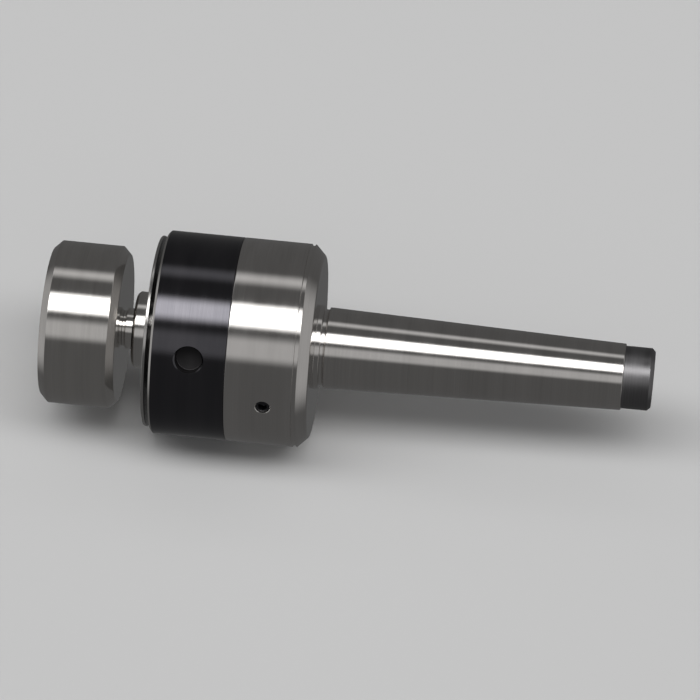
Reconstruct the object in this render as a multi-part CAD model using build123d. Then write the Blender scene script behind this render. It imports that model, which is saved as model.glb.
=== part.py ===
from build123d import *
import os
from math import radians, tan

# Live center with a No. 3 Morse taper shank and a pull-off blank insert.
# Every size is in millimetres. X is the axis of rotation: the work is on the -X side and the shank
# points along +X. The origin is on the axis in the gauge plane of the Morse taper. +Z is up.

# Morse taper shank
gauge_diameter = 23.825
taper_per_mm = 0.05020
gauge_to_shoulder = 5.0
gauge_to_end = 94.0
end_length = 8.7
end_diameter = 18.4
end_chamfer = 1.0
centre_hole_diameter = 5.0
centre_hole_angle = 60.0
collar_length = 1.5
collar_diameter = 24.8
relief_length = 1.3
relief_diameter = 22.6

# Housing ring and front nut
body_diameter = 60.0
ring_length = 24.1
rear_chamfer = 3.2
mark_groove_width = 1.2
mark_groove_depth = 0.5
edge_break = 0.3
nut_length = 22.3
nut_front_chamfer = 0.7
nut_wall = 5.0
nut_web = 6.9
nut_face_relief = 0.8
neck_end_gap = 0.5

# Pin spanner holes round the nut
spanner_hole_diameter = 8.0
spanner_hole_depth = 4.2
spanner_hole_setback = 11.5
spanner_hole_count = 2
spanner_hole_elevation = 33.0

# Grease plug in the housing ring, a grub screw
plug_diameter = 4.2
plug_length = 7.0
plug_sunk = 0.6
plug_key_flats = 2.5
plug_key_depth = 2.5
plug_setback = 11.5
plug_elevation = 8.0

# Spindle
seat_diameter = 20.0
shoulder_diameter = 25.0
nose_diameter = 22.5
nose_length = 5.4
nose_chamfer = 0.8
waist_diameter = 18.8
journal_diameter = 10.0
journal_chamfer = 0.8
journal_end_gap = 0.5
waist_end_gap = 1.5
bore_runout = 2.0
keyway_width = 3.6
keyway_depth = 1.6

# Double row front bearing
front_bearing_width = 16.0
front_bearing_diameter = 42.0
front_race_wall = 2.42
front_land_wall = 3.2
front_row_offset = 4.2
front_ball_count = 10
front_cage_wall = 2.3
front_cage_back = 0.7
front_cage_open_length = 0.8

# Lock washer and slotted lock nut on the spindle
lock_washer_thickness = 1.0
lock_washer_diameter = 29.0
lock_tab_width = 3.2
lock_tongue_root = 0.5
lock_nut_length = 6.0
lock_nut_diameter = 32.0
lock_slot_width = 3.8
lock_slot_depth = 2.2
lock_slot_count = 4

# Thrust ball bearing
thrust_width = 10.0
thrust_diameter = 35.0
thrust_ball_diameter = 5.0
thrust_groove_depth = 1.0
thrust_ball_count = 11
thrust_cage_thickness = 2.2
thrust_cage_width = 6.0
thrust_chamber_diameter = 37.0

# Drawn cup needle bearing in the root of the shank
needle_diameter = 1.49
needle_length = 7.8
needle_count = 14
needle_cup_wall = 0.48
needle_cup_length = 12.0
needle_cup_lip = 0.6
needle_cup_start = 2.0
needle_cage_wall = 0.9

# Front seal and dust shield
seal_width = 4.5
seal_section = 4.2
seal_recess = 0.5
seal_lip_width = 1.2
seal_lip_height = 1.0
shield_thickness = 1.0
shield_diameter = 56.4
shield_gap = 1.2
shield_hub_diameter = 28.0
shield_hub_height = 0.8

# Blank insert and its jacking screw
insert_diameter = 48.0
insert_head_length = 22.3
insert_chamfer = 2.2
insert_gap = 3.5
insert_undercut_width = 1.0
insert_undercut_diameter = 10.6
socket_diameter = 12.1
socket_taper_per_mm = 0.05
insert_taper_length = 20.0
socket_depth = 22.0
jack_core_diameter = 5.0
jack_length = 16.0
jack_tip_setback = 1.5
jack_key_flats = 3.0
jack_key_depth = 3.5
jack_mouth_chamfer = 0.6

# Clearances, each on the radius or per side
running = 0.02
rolling = 0.015
pocket = 0.12
thread_play = 0.05
seal_play = 0.3
loose = 0.4

# Stations along X, from the shoulder of the shank towards the work
shoulder_x = -gauge_to_shoulder
nut_rear_x = shoulder_x - ring_length
nut_front_x = nut_rear_x - nut_length
race_front_x = nut_front_x + nut_web
neck_front_x = race_front_x - neck_end_gap
race_rear_x = race_front_x + front_bearing_width
lock_nut_x = race_rear_x + lock_washer_thickness
thrust_x = lock_nut_x + lock_nut_length
thrust_seat_x = thrust_x + thrust_width
shield_rear_x = nut_front_x - shield_gap
shield_front_x = shield_rear_x - shield_thickness
nose_x = shield_front_x - nose_length
head_rear_x = nose_x - insert_gap
head_front_x = head_rear_x - insert_head_length
needle_cup_x = shoulder_x - needle_cup_start
needle_cup_end_x = needle_cup_x + needle_cup_length
journal_end_x = needle_cup_end_x + journal_end_gap
insert_end_x = nose_x + insert_taper_length
socket_end_x = nose_x + socket_depth
jack_end_x = insert_end_x - jack_tip_setback
jack_start_x = jack_end_x - jack_length

# Radii that several pieces share
thread_radius = body_diameter / 2 - nut_wall
race_outer = front_bearing_diameter / 2
race_inner = seat_diameter / 2
front_pitch = (race_outer + race_inner) / 2
front_ball_radius = (race_outer - race_inner) / 2 - front_race_wall - rolling
front_rows_x = (race_front_x + front_row_offset, race_rear_x - front_row_offset)
outer_land = race_outer - front_land_wall
inner_land = race_inner + front_land_wall
seal_inner = shoulder_diameter / 2 + seal_play
seal_outer = shoulder_diameter / 2 + seal_play + seal_section
thrust_pitch = (seat_diameter + thrust_diameter) / 4
needle_pitch = journal_diameter / 2 + rolling + needle_diameter / 2
cup_inner = needle_pitch + needle_diameter / 2 + rolling
cup_outer = cup_inner + needle_cup_wall


def turned(*outline):
    """A solid of revolution about X from (x, radius) points."""
    return revolve(make_face(Plane.XZ * Polyline(*outline, close=True)), Axis.X)


def disc(start, end, radius):
    """A plain cylinder along X."""
    return turned((start, 0), (end, 0), (end, radius), (start, radius))


def ring(start, end, inner, outer):
    """A plain ring along X."""
    return turned((start, inner), (end, inner), (end, outer), (start, outer))


def around(shape, count):
    """Copies of a shape spaced evenly about X."""
    return [Rot(X=360 * step / count) * shape for step in range(count)]


def rim(solid, x, radius):
    """The circular edges of a turned solid at one station and radius."""
    circles = solid.edges().filter_by(GeomType.CIRCLE)
    return [e for e in circles if abs(e.radius - radius) < 1e-4 and abs(e.arc_center.X - x) < 1e-4]


def radial(shape, x, elevation):
    """Place a shape made along +Z so that it points outwards at an elevation above the -Y side."""
    return Pos(X=x) * Rot(X=90 - elevation) * shape


def hexagon_along_x(start, end, flats):
    """A hexagon prism along X, for a key socket."""
    profile = Plane.YZ.offset(start) * RegularPolygon(flats / 2, 6, major_radius=False)
    return extrude(profile, end - start)


def gauge_radius(x):
    """Radius of the Morse taper at a station."""
    return gauge_diameter / 2 - taper_per_mm * x / 2


def socket_radius(x):
    """Radius of the spindle's socket taper at a station."""
    return socket_diameter / 2 - socket_taper_per_mm * (x - nose_x) / 2


def race_groove(x, pitch, radius):
    """The torus that balls roll in."""
    return Pos(X=x) * Rot(Y=90) * Torus(pitch, radius)


def ball_row(x, pitch, radius, count):
    """Balls of one row, set in a circle about X."""
    ball = Pos(X=x, Z=pitch) * Sphere(radius)
    return around(ball, count)


# Housing: the ring that carries the bearings, its threaded neck and the taper shank, one steel piece.
def shank():
    taper_start_x = shoulder_x + collar_length + relief_length
    taper_end_x = gauge_to_end - end_length
    centre_hole_depth = centre_hole_diameter / 2 / tan(radians(centre_hole_angle / 2))
    outline = [
        (shoulder_x - 1, 0),
        (shoulder_x - 1, collar_diameter / 2),
        (shoulder_x + collar_length - edge_break, collar_diameter / 2),
        (shoulder_x + collar_length, collar_diameter / 2 - edge_break),
        (shoulder_x + collar_length, relief_diameter / 2),
        (taper_start_x, relief_diameter / 2),
        (taper_start_x, gauge_radius(taper_start_x) - edge_break),
        (taper_start_x + edge_break, gauge_radius(taper_start_x + edge_break)),
        (taper_end_x - edge_break, gauge_radius(taper_end_x - edge_break)),
        (taper_end_x, gauge_radius(taper_end_x) - edge_break),
        (taper_end_x, end_diameter / 2),
        (gauge_to_end - end_chamfer, end_diameter / 2),
        (gauge_to_end, end_diameter / 2 - end_chamfer),
        (gauge_to_end, centre_hole_diameter / 2),
        (gauge_to_end - centre_hole_depth, 0),
    ]
    return turned(*outline)


def housing_blank():
    body_radius = body_diameter / 2
    groove_x = shoulder_x - rear_chamfer
    outline = [
        (neck_front_x, 0),
        (neck_front_x, thread_radius - edge_break),
        (neck_front_x + edge_break, thread_radius),
        (nut_rear_x, thread_radius),
        (nut_rear_x, body_radius - edge_break),
        (nut_rear_x + edge_break, body_radius),
        (groove_x - mark_groove_width, body_radius),
        (groove_x - mark_groove_width, body_radius - mark_groove_depth),
        (groove_x, body_radius - mark_groove_depth),
        (groove_x, body_radius),
        (shoulder_x, body_radius - rear_chamfer),
        (shoulder_x, 0),
    ]
    return turned(*outline)


def housing_cavity():
    washer_recess_x = thrust_seat_x - thrust_width / 2 + thrust_cage_thickness / 2 + loose
    outline = [
        (neck_front_x - 1, 0),
        (neck_front_x - 1, race_outer),
        (race_rear_x, race_outer),
        (race_rear_x, thrust_chamber_diameter / 2),
        (washer_recess_x, thrust_chamber_diameter / 2),
        (washer_recess_x, thrust_diameter / 2),
        (thrust_seat_x, thrust_diameter / 2),
        (thrust_seat_x, cup_outer),
        (needle_cup_end_x, cup_outer),
        (needle_cup_end_x, journal_diameter / 2 + loose),
        (journal_end_x + bore_runout, journal_diameter / 2 + loose),
        (journal_end_x + 2 * bore_runout, 0),
    ]
    return turned(*outline)


def plug_hole():
    drill = Pos(Z=body_diameter / 2) * Cylinder(plug_diameter / 2, body_diameter / 2)
    return radial(drill, nut_rear_x + plug_setback, plug_elevation)


def housing():
    return housing_blank() + shank() - housing_cavity() - plug_hole()


def grease_plug():
    top = body_diameter / 2 - plug_sunk
    body = Pos(Z=top - plug_length / 2) * Cylinder(plug_diameter / 2, plug_length)
    body = chamfer(body.edges().filter_by(GeomType.CIRCLE), edge_break)
    key = extrude(RegularPolygon(plug_key_flats / 2, 6, major_radius=False), plug_key_depth)
    body -= Pos(Z=top - plug_key_depth) * key
    return radial(body, nut_rear_x + plug_setback, plug_elevation)


# Front nut: screws over the neck and holds the front bearing in.
def front_nut():
    body_radius = body_diameter / 2
    register_outer = race_outer - running
    web_rear_x = race_front_x - nut_face_relief
    seal_seat_x = nut_front_x + seal_recess + seal_width
    outline = [
        (nut_rear_x, body_radius - edge_break),
        (nut_rear_x, thread_radius + edge_break),
        (nut_rear_x - edge_break, thread_radius),
        (web_rear_x, thread_radius),
        (web_rear_x, register_outer),
        (race_front_x, register_outer),
        (race_front_x, outer_land),
        (web_rear_x, outer_land),
        (web_rear_x, inner_land + running),
        (seal_seat_x, inner_land + running),
        (seal_seat_x, seal_outer),
        (nut_front_x, seal_outer),
        (nut_front_x, body_radius - nut_front_chamfer),
        (nut_front_x + nut_front_chamfer, body_radius),
        (nut_rear_x - edge_break, body_radius),
    ]
    nut = turned(*outline)
    for hole in spanner_holes():
        nut -= hole
    return nut


def spanner_holes():
    drill_top = body_diameter / 2 + 1
    drill_length = spanner_hole_depth + 1
    drill = Pos(Z=drill_top - drill_length / 2) * Cylinder(spanner_hole_diameter / 2, drill_length)
    hole = radial(drill, nut_front_x + spanner_hole_setback, spanner_hole_elevation)
    return around(hole, spanner_hole_count)


# Front seal: a rubber ring pressed into the nut, with a lip that wipes the spindle's shoulder.
def front_seal():
    front_x = nut_front_x + seal_recess
    rear_x = front_x + seal_width
    lip_radius = seal_inner
    waist_radius = seal_inner + seal_lip_height
    outline = [
        (front_x, lip_radius),
        (front_x + seal_lip_width, lip_radius),
        (front_x + 2 * seal_lip_width, waist_radius),
        (rear_x, waist_radius),
        (rear_x, seal_outer),
        (front_x, seal_outer),
    ]
    return turned(*outline)


# Spindle: carries the insert in its tapered socket and turns in the bearings.
def spindle_blank():
    nose = nose_diameter / 2
    journal = journal_diameter / 2
    waist_x = thrust_x + (thrust_width - thrust_cage_thickness) / 2 - loose
    outline = [
        (nose_x, 0),
        (nose_x, nose - nose_chamfer),
        (nose_x + nose_chamfer, nose),
        (shield_rear_x, nose),
        (shield_rear_x, shoulder_diameter / 2),
        (race_front_x, shoulder_diameter / 2),
        (race_front_x, seat_diameter / 2),
        (waist_x, seat_diameter / 2),
        (waist_x, waist_diameter / 2),
        (thrust_seat_x - waist_end_gap, waist_diameter / 2),
        (thrust_seat_x - waist_end_gap, journal),
        (journal_end_x - journal_chamfer, journal),
        (journal_end_x, journal - journal_chamfer),
        (journal_end_x, 0),
    ]
    return turned(*outline)


def insert_socket():
    outline = [
        (nose_x - 1, 0),
        (nose_x - 1, socket_radius(nose_x - 1)),
        (insert_end_x, socket_radius(insert_end_x)),
        (socket_end_x, socket_radius(insert_end_x)),
        (socket_end_x, 0),
    ]
    return turned(*outline)


def keyway():
    length = lock_washer_thickness + lock_nut_length
    slot = Box(length, keyway_width, 2 * keyway_depth)
    return Pos(X=race_rear_x + length / 2, Z=seat_diameter / 2) * slot


def spindle():
    return spindle_blank() - insert_socket() - keyway()


# Dust shield: a thin steel disc pressed on the spindle in front of the nut.
def dust_shield():
    outer = shield_diameter / 2
    hub = shield_hub_diameter / 2
    outline = [
        (shield_rear_x, nose_diameter / 2),
        (shield_rear_x, outer - edge_break),
        (shield_rear_x - edge_break, outer),
        (shield_front_x + edge_break, outer),
        (shield_front_x, outer - edge_break),
        (shield_front_x, hub),
        (shield_front_x - shield_hub_height, hub - shield_hub_height),
        (shield_front_x - shield_hub_height, nose_diameter / 2),
    ]
    return turned(*outline)


# Double row front bearing: races, and for each row a crown cage with its balls.
def front_race(inner, outer):
    race = ring(race_front_x, race_rear_x, inner, outer)
    corners = rim(race, race_front_x, race_outer) + rim(race, race_rear_x, race_outer)
    corners += rim(race, race_front_x, race_inner) + rim(race, race_rear_x, race_inner)
    race = chamfer(corners, edge_break)
    for row_x in front_rows_x:
        race -= race_groove(row_x, front_pitch, front_ball_radius + rolling)
    return race


def front_cage(row_x, outward):
    back_x = row_x + outward * (front_ball_radius + pocket + front_cage_back)
    open_x = row_x - outward * front_cage_open_length
    inner = front_pitch - front_cage_wall / 2
    cage = ring(min(back_x, open_x), max(back_x, open_x), inner, inner + front_cage_wall)
    for hollow in ball_row(row_x, front_pitch, front_ball_radius + pocket, front_ball_count):
        cage -= hollow
    return cage


# Lock washer and lock nut: clamp the inner race on the spindle and push on the thrust bearing.
def lock_washer():
    washer = ring(race_rear_x, lock_nut_x, seat_diameter / 2, lock_washer_diameter / 2)
    tongue_depth = keyway_depth - 2 * running
    tongue_height = tongue_depth + lock_tongue_root
    tongue = Box(lock_washer_thickness, keyway_width - 2 * thread_play, tongue_height)
    tongue_z = seat_diameter / 2 - tongue_depth + tongue_height / 2
    washer += Pos(X=race_rear_x + lock_washer_thickness / 2, Z=tongue_z) * tongue
    return washer + lock_tab()


def lock_tab():
    slot_floor = lock_nut_diameter / 2 - lock_slot_depth
    thickness = lock_washer_thickness
    length = thickness + lock_nut_length / 2
    tab = Box(length, lock_tab_width, thickness)
    root = Box(thickness, lock_tab_width, 2 * thickness)
    tab_z = slot_floor + thread_play + thickness / 2
    tab = Pos(X=race_rear_x + length / 2, Z=tab_z) * tab
    return tab + Pos(X=race_rear_x + thickness / 2, Z=tab_z - thickness / 2) * root


def spindle_lock_nut():
    outer = lock_nut_diameter / 2
    nut = ring(lock_nut_x, thrust_x, seat_diameter / 2, outer)
    nut = chamfer(rim(nut, lock_nut_x, outer) + rim(nut, thrust_x, outer), edge_break)
    slot = Box(3 * lock_nut_length, lock_slot_width, 2 * lock_slot_depth)
    slot = Pos(X=(lock_nut_x + thrust_x) / 2, Z=outer) * slot
    for cut in around(slot, lock_slot_count):
        nut -= cut
    return nut


# Thrust bearing: takes the push of the work on the housing.
def thrust_washer(start, end, inner, outer):
    washer = ring(start, end, inner, outer)
    middle_x = thrust_x + thrust_width / 2
    return washer - race_groove(middle_x, thrust_pitch, thrust_ball_diameter / 2 + rolling)


def thrust_shaft_washer():
    end_x = thrust_x + (thrust_width - thrust_ball_diameter) / 2 + thrust_groove_depth
    outer = thrust_diameter / 2 - loose / 2
    return thrust_washer(thrust_x, end_x, seat_diameter / 2, outer)


def thrust_housing_washer():
    start_x = thrust_seat_x - (thrust_width - thrust_ball_diameter) / 2 - thrust_groove_depth
    inner = seat_diameter / 2 + loose
    return thrust_washer(start_x, thrust_seat_x, inner, thrust_diameter / 2)


def thrust_cage():
    middle_x = thrust_x + thrust_width / 2
    half = thrust_cage_thickness / 2
    inner = thrust_pitch - thrust_cage_width / 2
    cage = ring(middle_x - half, middle_x + half, inner, inner + thrust_cage_width)
    drill = Cylinder(thrust_ball_diameter / 2 + pocket, 2 * thrust_cage_thickness)
    drill = Pos(X=middle_x, Z=thrust_pitch) * Rot(Y=90) * drill
    for hollow in around(drill, thrust_ball_count):
        cage -= hollow
    return cage


def thrust_balls():
    middle_x = thrust_x + thrust_width / 2
    return ball_row(middle_x, thrust_pitch, thrust_ball_diameter / 2, thrust_ball_count)


# Needle bearing: steadies the tail of the spindle inside the shank.
def needle_cup():
    inner_end_x = needle_cup_end_x - needle_cup_lip
    lip_radius = journal_diameter / 2 + loose
    outline = [
        (needle_cup_x, lip_radius),
        (needle_cup_x + needle_cup_lip, lip_radius),
        (needle_cup_x + needle_cup_lip, cup_inner),
        (inner_end_x, cup_inner),
        (inner_end_x, lip_radius),
        (needle_cup_end_x, lip_radius),
        (needle_cup_end_x, cup_outer),
        (needle_cup_x, cup_outer),
    ]
    return turned(*outline)


def needle_rollers(length, radius):
    middle_x = (needle_cup_x + needle_cup_end_x) / 2
    roller = Pos(X=middle_x, Z=needle_pitch) * Rot(Y=90) * Cylinder(radius, length)
    return around(roller, needle_count)


def needle_cage():
    start_x = needle_cup_x + needle_cup_lip + loose / 2
    end_x = needle_cup_end_x - needle_cup_lip - loose / 2
    inner = needle_pitch - needle_cage_wall / 2
    cage = ring(start_x, end_x, inner, inner + needle_cage_wall)
    for hollow in needle_rollers(needle_length + 2 * pocket, needle_diameter / 2 + pocket / 2):
        cage -= hollow
    return cage


# Insert: a blank head on a short tapered shank that locks in the spindle.
def insert():
    head = insert_diameter / 2
    fit = running
    outline = [
        (head_front_x, jack_core_diameter / 2 + jack_mouth_chamfer),
        (head_front_x, head - insert_chamfer),
        (head_front_x + insert_chamfer, head),
        (head_rear_x - insert_chamfer, head),
        (head_rear_x, head - insert_chamfer),
        (head_rear_x, insert_undercut_diameter / 2),
        (head_rear_x + insert_undercut_width, insert_undercut_diameter / 2),
        (head_rear_x + insert_undercut_width, socket_radius(head_rear_x + insert_undercut_width) - fit),
        (insert_end_x - edge_break, socket_radius(insert_end_x - edge_break) - fit),
        (insert_end_x, socket_radius(insert_end_x) - fit - edge_break),
        (insert_end_x, jack_core_diameter / 2),
        (head_front_x + jack_mouth_chamfer, jack_core_diameter / 2),
    ]
    return turned(*outline)


# Jacking screw: a grub screw in the insert that bears on the socket's floor and breaks the taper.
def jack_screw():
    radius = jack_core_diameter / 2 - thread_play
    screw = disc(jack_start_x, jack_end_x, radius)
    screw = chamfer(rim(screw, jack_start_x, radius) + rim(screw, jack_end_x, radius), edge_break)
    return screw - hexagon_along_x(jack_start_x - 1, jack_start_x + jack_key_depth, jack_key_flats)


def front_balls(row_x):
    return ball_row(row_x, front_pitch, front_ball_radius, front_ball_count)


parts = {
    "housing": housing(),
    "grease_plug": grease_plug(),
    "front_nut": front_nut(),
    "front_seal": front_seal(),
    "spindle": spindle(),
    "dust_shield": dust_shield(),
    "front_bearing_outer_race": front_race(outer_land, race_outer),
    "front_bearing_inner_race": front_race(race_inner, inner_land),
    "front_cage_work_side": front_cage(front_rows_x[0], -1),
    "front_cage_shank_side": front_cage(front_rows_x[1], 1),
    "front_balls_work_side": front_balls(front_rows_x[0]),
    "front_balls_shank_side": front_balls(front_rows_x[1]),
    "lock_washer": lock_washer(),
    "spindle_lock_nut": spindle_lock_nut(),
    "thrust_shaft_washer": thrust_shaft_washer(),
    "thrust_housing_washer": thrust_housing_washer(),
    "thrust_cage": thrust_cage(),
    "thrust_balls": thrust_balls(),
    "needle_cup": needle_cup(),
    "needle_cage": needle_cage(),
    "needle_rollers": needle_rollers(needle_length, needle_diameter / 2),
    "insert": insert(),
    "jack_screw": jack_screw(),
}

os.makedirs("parts", exist_ok=True)
for name, shape in parts.items():
    if isinstance(shape, list):
        shape = Compound(children=shape)
    export_step(shape, f"parts/{name}.step")
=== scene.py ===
from math import cos, pi, radians, sin, tan
import bmesh
import bpy
from mathutils import Matrix, Quaternion, Vector


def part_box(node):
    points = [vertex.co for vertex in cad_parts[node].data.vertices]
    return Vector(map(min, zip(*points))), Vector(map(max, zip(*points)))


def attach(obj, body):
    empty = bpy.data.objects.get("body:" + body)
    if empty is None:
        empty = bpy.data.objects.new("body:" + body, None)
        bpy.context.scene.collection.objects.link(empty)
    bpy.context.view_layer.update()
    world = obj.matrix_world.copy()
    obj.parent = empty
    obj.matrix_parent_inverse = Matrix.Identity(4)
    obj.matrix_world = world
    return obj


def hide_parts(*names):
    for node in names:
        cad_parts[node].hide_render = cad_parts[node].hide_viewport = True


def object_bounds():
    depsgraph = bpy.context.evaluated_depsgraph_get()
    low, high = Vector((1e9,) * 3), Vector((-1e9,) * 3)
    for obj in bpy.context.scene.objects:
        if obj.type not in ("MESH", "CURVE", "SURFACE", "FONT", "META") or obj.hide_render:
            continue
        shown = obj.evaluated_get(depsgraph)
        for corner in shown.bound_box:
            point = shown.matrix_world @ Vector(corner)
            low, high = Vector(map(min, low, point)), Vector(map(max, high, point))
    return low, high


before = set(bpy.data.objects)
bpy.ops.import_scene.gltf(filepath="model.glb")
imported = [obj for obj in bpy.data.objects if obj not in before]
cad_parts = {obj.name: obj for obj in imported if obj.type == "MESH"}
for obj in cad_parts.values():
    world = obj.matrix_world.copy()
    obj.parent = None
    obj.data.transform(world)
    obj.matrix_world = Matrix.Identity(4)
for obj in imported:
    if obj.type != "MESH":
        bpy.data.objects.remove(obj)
cad_low, cad_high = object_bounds()


# Camera: above and in front of the tool, a little towards its shank, with a long lens that holds
# the whole tool. The small roll lets the axis run gently down to the right.
middle = (cad_low + cad_high) / 2
camera_distance = 1.6
camera_azimuth = radians(5.7)
camera_elevation = radians(47.5)
camera_roll = radians(1.4)
towards_camera = Vector((
    cos(camera_elevation) * sin(camera_azimuth),
    -cos(camera_elevation) * cos(camera_azimuth),
    sin(camera_elevation),
))
camera = bpy.data.objects.new("camera", bpy.data.cameras.new("camera"))
bpy.context.scene.collection.objects.link(camera)
camera.location = middle + camera_distance * towards_camera
camera.rotation_mode = "QUATERNION"
camera.rotation_quaternion = (-towards_camera).to_track_quat("-Z", "Y") @ Quaternion((0, 0, 1), camera_roll)
camera.data.sensor_width = 36
camera.data.lens = 280
bpy.context.scene.camera = camera
bpy.context.scene.view_settings.view_transform = "Standard"


# Floor: a plain pale sheet that the body rests on. It is left out of reflections, so the steel
# shows only the room and its soft boxes.
floor_half = 8.0
floor_mesh = bpy.data.meshes.new("floor")
floor_shape = bmesh.new()
bmesh.ops.create_grid(floor_shape, x_segments=1, y_segments=1, size=floor_half)
bmesh.ops.translate(floor_shape, verts=floor_shape.verts, vec=(0, 0, cad_low.z))
floor_shape.to_mesh(floor_mesh)
floor_shape.free()
floor = bpy.data.objects.new("floor", floor_mesh)
bpy.context.scene.collection.objects.link(floor)
floor_paint = bpy.data.materials.new("floor_paint")
floor_paint.use_nodes = True
floor_shader = floor_paint.node_tree.nodes["Principled BSDF"]
floor_shader.inputs["Base Color"].default_value = (0.62, 0.62, 0.62, 1)
floor_shader.inputs["Roughness"].default_value = 0.9
floor_mesh.materials.append(floor_paint)
floor.visible_glossy = False


# Studio: a plain gray room with long soft boxes in front of the tool, overhead and behind; the camera
# itself sees only a gray backdrop. Each box is its lower and upper edge, in degrees from the front
# horizon (0) over the top (90) to the back horizon (180), and its brightness.
soft_boxes = [(25, 50, 0.4), (64, 86, 4.0), (115, 127, 0.5)]
box_edge = radians(6)
box_end_start = 0.70
box_end_finish = 0.93
room_gray = 0.10
room_end_gray = 0.40
backdrop_gray = 0.6
world = bpy.data.worlds.new("studio")
bpy.context.scene.world = world
world.use_nodes = True
nodes, links = world.node_tree.nodes, world.node_tree.links


def world_math(operation, first, second):
    """A Math node of the studio, whose inputs are numbers or other nodes' outputs."""
    node = nodes.new("ShaderNodeMath")
    node.operation = operation
    for socket, value in zip(node.inputs, (first, second)):
        if isinstance(value, (int, float)):
            socket.default_value = value
        else:
            links.new(value, socket)
    return node.outputs[0]


def fade(value, start, end, low=0.0, high=1.0):
    """A smooth change from low to high as a value goes from start to end."""
    node = nodes.new("ShaderNodeMapRange")
    node.interpolation_type = "SMOOTHSTEP"
    for socket, limit in zip(list(node.inputs)[1:5], (start, end, low, high)):
        socket.default_value = limit
    links.new(value, node.inputs["Value"])
    return node.outputs["Result"]


direction = nodes.new("ShaderNodeSeparateXYZ")
links.new(nodes.new("ShaderNodeTexCoord").outputs["Generated"], direction.inputs[0])
along, across, up = direction.outputs
angle = world_math("ARCTAN2", up, world_math("MULTIPLY", across, -1))
room_light = room_gray
for lower, upper, brightness in soft_boxes:
    rising = fade(angle, radians(lower) - box_edge, radians(lower) + box_edge)
    falling = fade(angle, radians(upper) - box_edge, radians(upper) + box_edge, brightness, 0.0)
    room_light = world_math("ADD", room_light, world_math("MULTIPLY", rising, falling))
studio = nodes.new("ShaderNodeMix")
links.new(fade(world_math("ABSOLUTE", along, 0), box_end_start, box_end_finish), studio.inputs["Factor"])
links.new(room_light, studio.inputs["A"])
studio.inputs["B"].default_value = room_end_gray
seen_plain = nodes.new("ShaderNodeMix")
links.new(nodes.new("ShaderNodeLightPath").outputs["Is Camera Ray"], seen_plain.inputs["Factor"])
links.new(studio.outputs["Result"], seen_plain.inputs["A"])
seen_plain.inputs["B"].default_value = backdrop_gray
links.new(seen_plain.outputs["Result"], nodes["Background"].inputs["Color"])


# Housing: one piece of ground steel. The ring that holds the bearings has a bevelled rear corner
# and a turned groove; the neck takes the nut; the taper shank ends in a plain, darker turned end.
mm = 0.001
housing_low, housing_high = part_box("housing")
nut_low, nut_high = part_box("front_nut")
body_radius = housing_high.z
shoulder_x = nut_high.x + 24.1 * mm
shank_end_x = housing_high.x
taper_end_x = shank_end_x - 8.7 * mm
taper_start_x = shoulder_x + 2.8 * mm
end_radius = 9.2 * mm
neck_radius = 25.0 * mm
centre_hole_radius = 2.5 * mm
rear_chamfer = 3.2 * mm
mark_groove_rear_x = shoulder_x - rear_chamfer
mark_groove_width = 1.2 * mm
mark_groove_radius = body_radius - 0.5 * mm
edge_round = 0.3 * mm
fine_round = 0.12 * mm
turning_steps = 256
corner_segments = 3
race_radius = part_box("front_bearing_outer_race")[1].z
race_front_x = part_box("front_bearing_outer_race")[0].x
race_rear_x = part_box("front_bearing_outer_race")[1].x
thrust_seat_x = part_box("thrust_housing_washer")[1].x
needle_cup_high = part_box("needle_cup")[1]
journal_end_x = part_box("spindle")[1].x
shank_end_chamfer = 1.0 * mm
relief_x = shoulder_x + 1.5 * mm
relief_radius = 11.3 * mm
collar_radius = 12.4 * mm
bevel_root_round = 0.6 * mm
bore_radius = 18.5 * mm
thrust_bore_x = thrust_seat_x - 3.5 * mm
thrust_bore_radius = 17.5 * mm
tail_bore_radius = 5.4 * mm
tail_bore_end_x = journal_end_x + 2 * mm
tail_bore_point = 2 * mm
gauge_radius = 11.9125 * mm
taper_slope = 0.0251


def taper_radius(x):
    """Radius of the Morse taper at a station along the axis."""
    return gauge_radius - taper_slope * x


def turned(outline, closed=True, steps=turning_steps):
    """A bmesh of a profile spun about X. Each point is (x, radius, rounding of that corner)."""
    shape = bmesh.new()
    corners = [shape.verts.new((x, 0, radius)) for x, radius, rounding in outline]
    for start, end in zip(corners, corners[1:]):
        shape.edges.new((start, end))
    if closed:
        shape.edges.new((corners[-1], corners[0]))
    for corner, (x, radius, rounding) in zip(corners, outline):
        if rounding:
            bmesh.ops.bevel(
                shape, geom=[corner], offset=rounding, affect="VERTICES",
                segments=corner_segments, profile=0.5, material=-1,
            )
    bmesh.ops.spin(
        shape, geom=shape.verts[:] + shape.edges[:], cent=(0, 0, 0), axis=(1, 0, 0),
        angle=2 * pi, steps=steps, use_merge=True,
    )
    bmesh.ops.remove_doubles(shape, verts=shape.verts, dist=0.001 * mm)
    bmesh.ops.recalc_face_normals(shape, faces=shape.faces)
    return shape


def piece(name, shape, materials):
    """A Blender object from a bmesh, with its materials."""
    mesh = bpy.data.meshes.new(name)
    shape.to_mesh(mesh)
    shape.free()
    for material in materials:
        mesh.materials.append(material)
    made = bpy.data.objects.new(name, mesh)
    bpy.context.scene.collection.objects.link(made)
    return made


def cut(target, tools):
    """Cut each tool, a bmesh, out of a piece and keep the result as its mesh."""
    for shape in tools:
        tool = piece("tool", shape, [])
        drilling = target.modifiers.new("cut", "BOOLEAN")
        drilling.object = tool
        drilling.operation = "DIFFERENCE"
        drilling.solver = "EXACT"
        evaluated = target.evaluated_get(bpy.context.evaluated_depsgraph_get())
        old_mesh = target.data
        target.data = bpy.data.meshes.new_from_object(evaluated)
        target.modifiers.clear()
        bpy.data.meshes.remove(old_mesh)
        bpy.data.objects.remove(tool)


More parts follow.
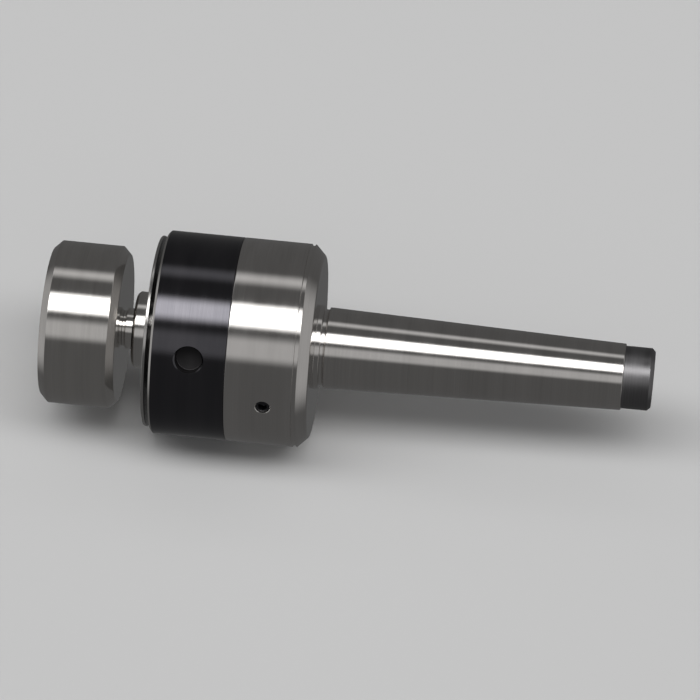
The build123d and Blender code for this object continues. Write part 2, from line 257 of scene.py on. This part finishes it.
def finish(made):
    """Smooth shading that keeps flat and cylindrical faces true between their rounded corners."""
    made.data.shade_smooth()
    made.data.set_sharp_from_angle(angle=radians(35))
    evening = made.modifiers.new("even_normals", "WEIGHTED_NORMAL")
    evening.keep_sharp = True
    evening.weight = 100


def radially(shape, x, elevation):
    """Move a shape made along +X so that it points outwards at a station, above the -Y side."""
    outwards = Vector((0, -cos(elevation), sin(elevation)))
    turn = Vector((1, 0, 0)).rotation_difference(outwards).to_matrix().to_4x4()
    bmesh.ops.transform(shape, matrix=Matrix.Translation((x, 0, 0)) @ turn, verts=shape.verts)
    return shape


def turned_metal(name, light, dark, roughness, line_width=0.12 * mm, line_depth=0.6e-6):
    """Metal with fine lines round X, along cylinders and across end faces alike, and a slow drift."""
    material = bpy.data.materials.new(name)
    material.use_nodes = True
    tree = material.node_tree
    shader = tree.nodes["Principled BSDF"]
    shader.inputs["Metallic"].default_value = 1
    place = tree.nodes.new("ShaderNodeSeparateXYZ")
    tree.links.new(tree.nodes.new("ShaderNodeTexCoord").outputs["Object"], place.inputs[0])
    radius = tree.nodes.new("ShaderNodeMath")
    radius.operation = "POWER"
    radius.inputs[1].default_value = 0.5
    squares = tree.nodes.new("ShaderNodeMath")
    squares.operation = "MULTIPLY_ADD"
    z_square = tree.nodes.new("ShaderNodeMath")
    z_square.operation = "MULTIPLY"
    tree.links.new(place.outputs["Z"], z_square.inputs[0])
    tree.links.new(place.outputs["Z"], z_square.inputs[1])
    tree.links.new(place.outputs["Y"], squares.inputs[0])
    tree.links.new(place.outputs["Y"], squares.inputs[1])
    tree.links.new(z_square.outputs[0], squares.inputs[2])
    tree.links.new(squares.outputs[0], radius.inputs[0])
    profile_place = tree.nodes.new("ShaderNodeCombineXYZ")
    tree.links.new(place.outputs["X"], profile_place.inputs["X"])
    tree.links.new(radius.outputs[0], profile_place.inputs["Y"])
    tree.links.new(place.outputs["Y"], profile_place.inputs["Z"])

    def lines_of(width, round_scale, detail):
        """Noise that is fine along the profile, one width to a line, and drawn out round the axis."""
        stretch = tree.nodes.new("ShaderNodeMapping")
        stretch.inputs["Scale"].default_value = (1 / width, 1 / width, round_scale)
        noise = tree.nodes.new("ShaderNodeTexNoise")
        noise.inputs["Scale"].default_value = 1
        noise.inputs["Detail"].default_value = detail
        tree.links.new(profile_place.outputs[0], stretch.inputs["Vector"])
        tree.links.new(stretch.outputs["Vector"], noise.inputs["Vector"])
        return noise.outputs["Fac"]

    lines = lines_of(line_width, 40, 3)
    drift = lines_of(4 * mm, 60, 2)
    blend = tree.nodes.new("ShaderNodeMix")
    blend.inputs["Factor"].default_value = 0.5
    tree.links.new(lines, blend.inputs["A"])
    tree.links.new(drift, blend.inputs["B"])
    spread = tree.nodes.new("ShaderNodeMapRange")
    spread.inputs["From Min"].default_value = 0.32
    spread.inputs["From Max"].default_value = 0.68
    tree.links.new(blend.outputs["Result"], spread.inputs["Value"])
    tone = tree.nodes.new("ShaderNodeMix")
    tone.data_type = "RGBA"
    tone.inputs["A"].default_value = (*dark, 1)
    tone.inputs["B"].default_value = (*light, 1)
    tree.links.new(spread.outputs["Result"], tone.inputs["Factor"])
    tree.links.new(tone.outputs["Result"], shader.inputs["Base Color"])
    rough = tree.nodes.new("ShaderNodeMapRange")
    rough.inputs["To Min"].default_value = roughness * 0.75
    rough.inputs["To Max"].default_value = roughness * 1.3
    tree.links.new(spread.outputs["Result"], rough.inputs["Value"])
    tree.links.new(rough.outputs["Result"], shader.inputs["Roughness"])
    bump = tree.nodes.new("ShaderNodeBump")
    bump.inputs["Strength"].default_value = 1
    bump.inputs["Distance"].default_value = line_depth
    tree.links.new(lines, bump.inputs["Height"])
    tree.links.new(bump.outputs["Normal"], shader.inputs["Normal"])
    return material


ground_steel = turned_metal("ground_steel", (0.72, 0.695, 0.675), (0.60, 0.58, 0.56), 0.10)
turned_end_steel = turned_metal("turned_end_steel", (0.25, 0.245, 0.25), (0.16, 0.157, 0.16), 0.38, 0.2 * mm)
housing_outline = [
    (shank_end_x - centre_hole_radius / tan(radians(30)), 0, 0),
    (shank_end_x, centre_hole_radius, fine_round),
    (shank_end_x, end_radius - shank_end_chamfer, fine_round),
    (shank_end_x - shank_end_chamfer, end_radius, fine_round),
    (taper_end_x, end_radius, fine_round),
    (taper_end_x, taper_radius(taper_end_x), edge_round),
    (taper_start_x, taper_radius(taper_start_x), edge_round),
    (taper_start_x, relief_radius, fine_round),
    (relief_x, relief_radius, fine_round),
    (relief_x, collar_radius, edge_round),
    (shoulder_x, collar_radius, fine_round),
    (shoulder_x, body_radius - rear_chamfer, bevel_root_round),
    (mark_groove_rear_x, body_radius, fine_round),
    (mark_groove_rear_x, mark_groove_radius, fine_round),
    (mark_groove_rear_x - mark_groove_width, mark_groove_radius, fine_round),
    (mark_groove_rear_x - mark_groove_width, body_radius, fine_round),
    (nut_high.x, body_radius, edge_round),
    (nut_high.x, neck_radius, fine_round),
    (housing_low.x, neck_radius, edge_round),
    (housing_low.x, race_radius, edge_round),
    (race_rear_x, race_radius, 0),
    (race_rear_x, bore_radius, fine_round),
    (thrust_bore_x, bore_radius, 0),
    (thrust_bore_x, thrust_bore_radius, fine_round),
    (thrust_seat_x, thrust_bore_radius, 0),
    (thrust_seat_x, needle_cup_high.z, fine_round),
    (needle_cup_high.x, needle_cup_high.z, 0),
    (needle_cup_high.x, tail_bore_radius, 0),
    (tail_bore_end_x, tail_bore_radius, 0),
    (tail_bore_end_x + tail_bore_point, 0, 0),
]
housing = piece("housing_steel", turned(housing_outline, closed=False), [ground_steel, turned_end_steel])
plug_low, plug_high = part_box("grease_plug")
plug_x = (plug_low.x + plug_high.x) / 2
plug_radius = (plug_high.x - plug_low.x) / 2
plug_elevation = radians(8)
plug_hole_floor = 15 * mm
plug_countersink = 0.2 * mm
overrun = 1.0 * mm
plug_drill = [
    (plug_hole_floor, 0, 0),
    (plug_hole_floor, plug_radius, 0),
    (body_radius - plug_countersink, plug_radius, 0),
    (body_radius + overrun, plug_radius + plug_countersink + overrun, 0),
    (body_radius + overrun, 0, 0),
]
cut(housing, [radially(turned(plug_drill, closed=False, steps=48), plug_x, plug_elevation)])
for face in housing.data.polygons:
    if face.center.x > taper_end_x + 0.01 * mm:
        face.material_index = 1
finish(housing)
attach(housing, "housing")
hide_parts("housing")


# Grease plug: a small blackened grub screw that closes the grease hole in the ring. A hexagon key
# turns it; it stands just below the ring's surface.
black_oxide = turned_metal("black_oxide_screw", (0.10, 0.10, 0.105), (0.05, 0.05, 0.055), 0.35)
plug_top = body_radius - 0.6 * mm
plug_length = 7 * mm
plug_flats = 2.5 * mm
plug_key_depth = 2.0 * mm
close_fit = 0.02 * mm
plug_outline = [
    (plug_top - plug_length, 0, 0),
    (plug_top - plug_length, plug_radius - close_fit, edge_round),
    (plug_top, plug_radius - close_fit, edge_round),
    (plug_top, 0, 0),
]


def hexagon_key(top, flats, depth):
    """A hexagon socket tool along X, with the pointed floor that a broached socket has."""
    corner_radius = flats / 2 / cos(pi / 6)
    socket = [
        (top + overrun, 0, 0),
        (top + overrun, corner_radius, 0),
        (top - depth, corner_radius, 0),
        (top - depth - corner_radius / 2, 0, 0),
    ]
    return turned(socket, closed=False, steps=6)


plug_shape = radially(turned(plug_outline, closed=False, steps=64), plug_x, plug_elevation)
plug = piece("grease_plug_screw", plug_shape, [black_oxide])
cut(plug, [radially(hexagon_key(plug_top, plug_flats, plug_key_depth), plug_x, plug_elevation)])
finish(plug)
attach(plug, "housing")
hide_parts("grease_plug")


# Front nut: a blued steel ring that goes over the neck, its thread left plain, and holds the front
# bearing in. Two round holes take a pin spanner; the front corner's chamfer was turned after bluing
# and is bright. The holes' walls and floors are rough, as drilled, and are given a darker colour
# that is painted shade in the recess.
blued_steel = turned_metal("blued_steel", (0.118, 0.114, 0.124), (0.078, 0.077, 0.086), 0.11)
# Steel for the spanner holes: rough as drilled, and darker than the blued steel as painted shade in the
# holes.
drilled_and_shaded_steel = turned_metal("drilled_and_shaded_steel", (0.055, 0.053, 0.055), (0.03, 0.029, 0.03), 0.5)
seal_seat_x = nut_low.x + 5.0 * mm
web_rear_x = race_front_x - 0.8 * mm
web_bore = 13.22 * mm
seal_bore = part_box("front_seal")[1].z
race_land = 17.8 * mm
nut_chamfer = 0.7 * mm
nut_outline = [
    (nut_high.x, body_radius, edge_round),
    (nut_high.x, neck_radius, edge_round),
    (web_rear_x, neck_radius, 0),
    (web_rear_x, race_radius, 0),
    (race_front_x, race_radius, 0),
    (race_front_x, race_land, 0),
    (web_rear_x, race_land, 0),
    (web_rear_x, web_bore, fine_round),
    (seal_seat_x, web_bore, fine_round),
    (seal_seat_x, seal_bore, 0),
    (nut_low.x, seal_bore, fine_round),
    (nut_low.x, body_radius - nut_chamfer, fine_round),
    (nut_low.x + nut_chamfer, body_radius, fine_round),
]
nut = piece("front_nut_blued", turned(nut_outline), [blued_steel, ground_steel, drilled_and_shaded_steel])
hole_x = nut_low.x + 11.5 * mm
hole_elevation = radians(33)
hole_radius = 4.0 * mm
hole_depth = 4.2 * mm
countersink = 0.45 * mm
hole_overrun = 0.55 * mm
hole_drill = [
    (body_radius - hole_depth, 0, 0),
    (body_radius - hole_depth, hole_radius, edge_round),
    (body_radius - countersink, hole_radius, 0),
    (body_radius + hole_overrun, hole_radius + hole_overrun + countersink, 0),
    (body_radius + hole_overrun, 0, 0),
]
for turn in (0, pi):
    cut(nut, [radially(turned(hole_drill, closed=False, steps=96), hole_x, hole_elevation + turn)])
for face in nut.data.polygons:
    outwards = Vector((0, face.center.y, face.center.z)).length
    if face.center.x < nut_low.x + nut_chamfer and outwards > body_radius - 1.05 * nut_chamfer:
        face.material_index = 1
    # The walls and floors of the spanner holes take the darker steel, which is painted shade in the recess.
    in_hole = body_radius - 1.02 * hole_depth < outwards < body_radius - countersink
    if in_hole and abs(face.center.x - hole_x) < 1.01 * hole_radius:
        face.material_index = 2
finish(nut)
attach(nut, "housing")
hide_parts("front_nut")


# Spindle: hardened, ground steel. Its nose ring stands in front of the shield, with the tapered
# socket for the insert; behind are the seal's shoulder, the bearing seat and the tail journal.
spindle_steel = turned_metal("spindle_steel", (0.74, 0.72, 0.70), (0.62, 0.60, 0.58), 0.10)
spindle_low, spindle_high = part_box("spindle")
shield_low, shield_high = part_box("dust_shield")
nose_radius = 11.25 * mm
nose_chamfer = 0.8 * mm
shoulder_radius = 12.5 * mm
bearing_seat_radius = 10.0 * mm
waist_radius = 9.4 * mm
journal_radius = 5.0 * mm
socket_taper = 0.025
socket_mouth_radius = 6.05 * mm
seat_end_x = thrust_seat_x - 6.5 * mm
journal_start_x = thrust_seat_x - 1.5 * mm
tail_chamfer = 0.8 * mm
keyway_size = (7.0 * mm, 3.6 * mm, 3.2 * mm)
insert_low, insert_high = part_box("insert")
socket_floor_x = insert_high.x + 2 * mm


def socket_radius(x):
    """Radius of the spindle's tapered socket at a station along the axis."""
    return socket_mouth_radius - socket_taper * (x - spindle_low.x)


spindle_outline = [
    (socket_floor_x, 0, 0),
    (socket_floor_x, socket_radius(insert_high.x), 0),
    (insert_high.x, socket_radius(insert_high.x), 0),
    (spindle_low.x, socket_radius(spindle_low.x), edge_round),
    (spindle_low.x, nose_radius - nose_chamfer, fine_round),
    (spindle_low.x + nose_chamfer, nose_radius, fine_round),
    (shield_high.x, nose_radius, 0),
    (shield_high.x, shoulder_radius, edge_round),
    (race_front_x, shoulder_radius, fine_round),
    (race_front_x, bearing_seat_radius, 0),
    (seat_end_x, bearing_seat_radius, fine_round),
    (seat_end_x, waist_radius, fine_round),
    (journal_start_x, waist_radius, edge_round),
    (journal_start_x, journal_radius, fine_round),
    (spindle_high.x - tail_chamfer, journal_radius, fine_round),
    (spindle_high.x, journal_radius - tail_chamfer, fine_round),
    (spindle_high.x, 0, 0),
]
spindle = piece("spindle_steel", turned(spindle_outline, closed=False), [spindle_steel])
keyway = bmesh.new()
bmesh.ops.create_cube(keyway, size=1)
bmesh.ops.scale(keyway, vec=keyway_size, verts=keyway.verts)
keyway_middle = (race_rear_x + keyway_size[0] / 2, 0, bearing_seat_radius)
bmesh.ops.translate(keyway, vec=keyway_middle, verts=keyway.verts)
cut(spindle, [keyway])
finish(spindle)
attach(spindle, "spindle")
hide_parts("spindle")


# Dust shield: a thin bright disc with a raised hub, pressed on the spindle in front of the nut. It
# turns with the spindle and throws off coolant.
shield_steel = turned_metal("shield_steel", (0.66, 0.645, 0.63), (0.52, 0.51, 0.50), 0.20, 0.2 * mm)
shield_radius = shield_high.z
shield_face_x = shield_high.x - 1.0 * mm
hub_radius = 14.0 * mm
hub_bevel = 0.8 * mm
shield_outline = [
    (shield_high.x, nose_radius, 0),
    (shield_high.x, shield_radius, edge_round),
    (shield_face_x, shield_radius, edge_round),
    (shield_face_x, hub_radius, fine_round),
    (shield_low.x, hub_radius - hub_bevel, fine_round),
    (shield_low.x, nose_radius, fine_round),
]
shield = piece("dust_shield_disc", turned(shield_outline), [shield_steel])
finish(shield)
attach(shield, "spindle")
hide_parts("dust_shield")


# Insert: a blank head of bright turned steel with broad chamfers, on a short tapered shank that
# locks in the spindle. A threaded hole runs right through it for the jacking screw.
insert_steel = turned_metal("insert_steel", (0.74, 0.715, 0.69), (0.60, 0.58, 0.555), 0.10, 0.16 * mm)
head_rear_x = spindle_low.x - 3.5 * mm
head_radius = insert_high.z
head_chamfer = 2.2 * mm
undercut_x = head_rear_x + 1.0 * mm
undercut_radius = 5.3 * mm
hole_mouth = 0.6 * mm
thread_pitch = 1.0 * mm
thread_core = 2.5 * mm
thread_depth = 0.42 * mm
thread_lead_in = 0.25
root_end = 0.15
crest_start = 0.5
crest_end = 0.62
insert_outline = [
    (insert_low.x, thread_core + hole_mouth, 0),
    (insert_low.x, head_radius - head_chamfer, fine_round),
    (insert_low.x + head_chamfer, head_radius, fine_round),
    (head_rear_x - head_chamfer, head_radius, fine_round),
    (head_rear_x, head_radius - head_chamfer, fine_round),
    (head_rear_x, undercut_radius, fine_round),
    (undercut_x, undercut_radius, fine_round),
    (undercut_x, socket_radius(undercut_x) - close_fit, fine_round),
    (insert_high.x, socket_radius(insert_high.x) - close_fit, edge_round),
    (insert_high.x, thread_core + 0.1 * mm, 0),
]


def thread(start_x, end_x, core, depth):
    """Profile points of a thread as rings, a pitch apart, from one station to another."""
    step = -thread_pitch if end_x < start_x else thread_pitch
    turns = round(abs(end_x - start_x) / thread_pitch - 1 + thread_lead_in)
    points = []
    for turn in range(turns):
        x = start_x + step * (turn + thread_lead_in)
        points += [
            (x, core, 0), (x + step * root_end, core, 0),
            (x + step * crest_start, core + depth, 0), (x + step * crest_end, core + depth, 0),
        ]
    return points + [(start_x + step * (turns + thread_lead_in), core, 0)]


insert_outline += thread(insert_high.x, insert_low.x + hole_mouth, thread_core, thread_depth)
insert_outline += [(insert_low.x + hole_mouth, thread_core, 0)]
insert = piece("insert_blank", turned(insert_outline), [insert_steel])
finish(insert)
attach(insert, "insert")
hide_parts("insert")


# Jacking screw: a blackened grub screw in the insert's threaded hole. A hexagon key drives it back
# towards the floor of the socket, to break the taper. Its crests stay within the core of the
# insert's thread, so that the two don't cut into each other.
jack_low, jack_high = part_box("jack_screw")
jack_thread_depth = 0.38 * mm
jack_flats = 3.0 * mm
jack_key_depth = 3.0 * mm
jack_point = 0.2 * mm
thread_clearance = 0.05 * mm
jack_core = thread_core - thread_clearance - jack_thread_depth
jack_outline = [
    (jack_high.x, 0, 0),
    (jack_high.x, jack_core - jack_point, fine_round),
    (jack_high.x - jack_point, jack_core, 0),
]
jack_thread_start_x = insert_high.x - 2 * thread_pitch
jack_outline += thread(jack_thread_start_x, jack_low.x + jack_point, jack_core, jack_thread_depth)
jack_outline += [(jack_low.x, jack_core - 0.1 * mm, 0), (jack_low.x, 0, 0)]
jack = piece("jack_screw_thread", turned(jack_outline, closed=False, steps=64), [black_oxide])
jack_key = hexagon_key(-jack_low.x, jack_flats, jack_key_depth)
bmesh.ops.rotate(jack_key, cent=(0, 0, 0), matrix=Matrix.Rotation(pi, 3, "Z"), verts=jack_key.verts)
cut(jack, [jack_key])
finish(jack)
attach(jack, "jack_screw")
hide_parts("jack_screw")


# Front seal: a ring of nitrile rubber in the nut's bore, with a main lip at the spindle's shoulder
# and a second one in front of it against dust. Both are drawn just clear of the steel.
seal_low, seal_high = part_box("front_seal")
seal_bore_radius = shoulder_radius + 0.3 * mm
seal_wall = 1.0 * mm
lip_root = 1.4 * mm
lip_height = 0.7 * mm
lip_front_x = seal_high.x - 2.0 * mm
lip_edge_x = seal_high.x - 1.2 * mm
lip_rear_x = seal_high.x - 0.5 * mm
dust_lip_rear_x = seal_low.x + 0.8 * mm
seal_outline = [
    (seal_low.x, seal_high.z, edge_round),
    (seal_high.x, seal_high.z, edge_round),
    (seal_high.x, seal_high.z - seal_wall, fine_round),
    (seal_low.x + seal_wall, seal_high.z - seal_wall, edge_round),
    (seal_low.x + seal_wall, seal_bore_radius + lip_root, edge_round),
    (lip_rear_x, seal_bore_radius + lip_root, fine_round),
    (lip_rear_x, seal_bore_radius + lip_height, fine_round),
    (lip_edge_x, seal_bore_radius, fine_round),
    (lip_front_x, seal_bore_radius + lip_height, fine_round),
    (dust_lip_rear_x, seal_bore_radius + lip_height, fine_round),
    (seal_low.x, seal_bore_radius, fine_round),
]
seal_rubber = bpy.data.materials.new("seal_rubber")
seal_rubber.use_nodes = True
rubber_nodes, rubber_links = seal_rubber.node_tree.nodes, seal_rubber.node_tree.links
rubber_shader = rubber_nodes["Principled BSDF"]
rubber_shader.inputs["Specular IOR Level"].default_value = 0.4
rubber_grain = rubber_nodes.new("ShaderNodeTexNoise")
rubber_grain.inputs["Scale"].default_value = 6000
rubber_grain.inputs["Detail"].default_value = 4
rubber_links.new(rubber_nodes.new("ShaderNodeTexCoord").outputs["Object"], rubber_grain.inputs["Vector"])
rubber_tone = rubber_nodes.new("ShaderNodeMix")
rubber_tone.data_type = "RGBA"
rubber_tone.inputs["A"].default_value = (0.018, 0.018, 0.018, 1)
rubber_tone.inputs["B"].default_value = (0.045, 0.045, 0.044, 1)
rubber_links.new(rubber_grain.outputs["Fac"], rubber_tone.inputs["Factor"])
rubber_links.new(rubber_tone.outputs["Result"], rubber_shader.inputs["Base Color"])
rubber_rough = rubber_nodes.new("ShaderNodeMapRange")
rubber_rough.inputs["To Min"].default_value = 0.55
rubber_rough.inputs["To Max"].default_value = 0.75
rubber_links.new(rubber_grain.outputs["Fac"], rubber_rough.inputs["Value"])
rubber_links.new(rubber_rough.outputs["Result"], rubber_shader.inputs["Roughness"])
rubber_bump = rubber_nodes.new("ShaderNodeBump")
rubber_bump.inputs["Distance"].default_value = 8e-6
rubber_links.new(rubber_grain.outputs["Fac"], rubber_bump.inputs["Height"])
rubber_links.new(rubber_bump.outputs["Normal"], rubber_shader.inputs["Normal"])
seal = piece("front_seal_lips", turned(seal_outline), [seal_rubber])
finish(seal)
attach(seal, "housing")
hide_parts("front_seal")


# Front bearing: hardened steel rings with ground and honed tracks, two rows of balls at opposite
# contact angles, and a cage of machined brass for each row. The rows take side load and push.
bearing_steel = turned_metal(
    "bearing_steel", (0.80, 0.80, 0.81), (0.70, 0.70, 0.715), 0.07, line_width=0.1 * mm, line_depth=0.3e-6,
)
cage_brass = turned_metal("cage_brass", (0.84, 0.62, 0.31), (0.68, 0.48, 0.22), 0.24, 0.15 * mm)


def coat(material, *names):
    """Give CAD nodes whose shape is already right the material of the real piece."""
    for name in names:
        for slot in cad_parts[name].material_slots:
            slot.material = material


coat(bearing_steel, "front_bearing_outer_race", "front_bearing_inner_race")
coat(bearing_steel, "front_balls_work_side", "front_balls_shank_side")
coat(cage_brass, "front_cage_work_side", "front_cage_shank_side")


# Lock washer and lock nut: a pressed steel washer, whose tab lies in the spindle's keyway, and a
# slotted nut of blackened steel, which clamp the inner ring against the spindle's shoulder.
pressed_steel = turned_metal(
    "pressed_steel", (0.58, 0.58, 0.585), (0.44, 0.44, 0.445), 0.30, line_width=0.3 * mm, line_depth=1.0e-6,
)
lock_nut_black = turned_metal("lock_nut_black", (0.085, 0.085, 0.09), (0.045, 0.045, 0.05), 0.30, 0.2 * mm)
coat(pressed_steel, "lock_washer")
coat(lock_nut_black, "spindle_lock_nut")


# Thrust bearing: two grooved washers of hardened steel, a row of balls and their flat brass cage.
# It takes the push of the work into the floor of the housing.
coat(bearing_steel, "thrust_shaft_washer", "thrust_housing_washer", "thrust_balls")
coat(cage_brass, "thrust_cage")


# Needle bearing: a cup drawn from thin steel sheet and pressed into the root of the shank, with
# ground needle rollers in a pressed steel cage. The spindle's tail runs in it.
coat(pressed_steel, "needle_cup", "needle_cage")
coat(bearing_steel, "needle_rollers")
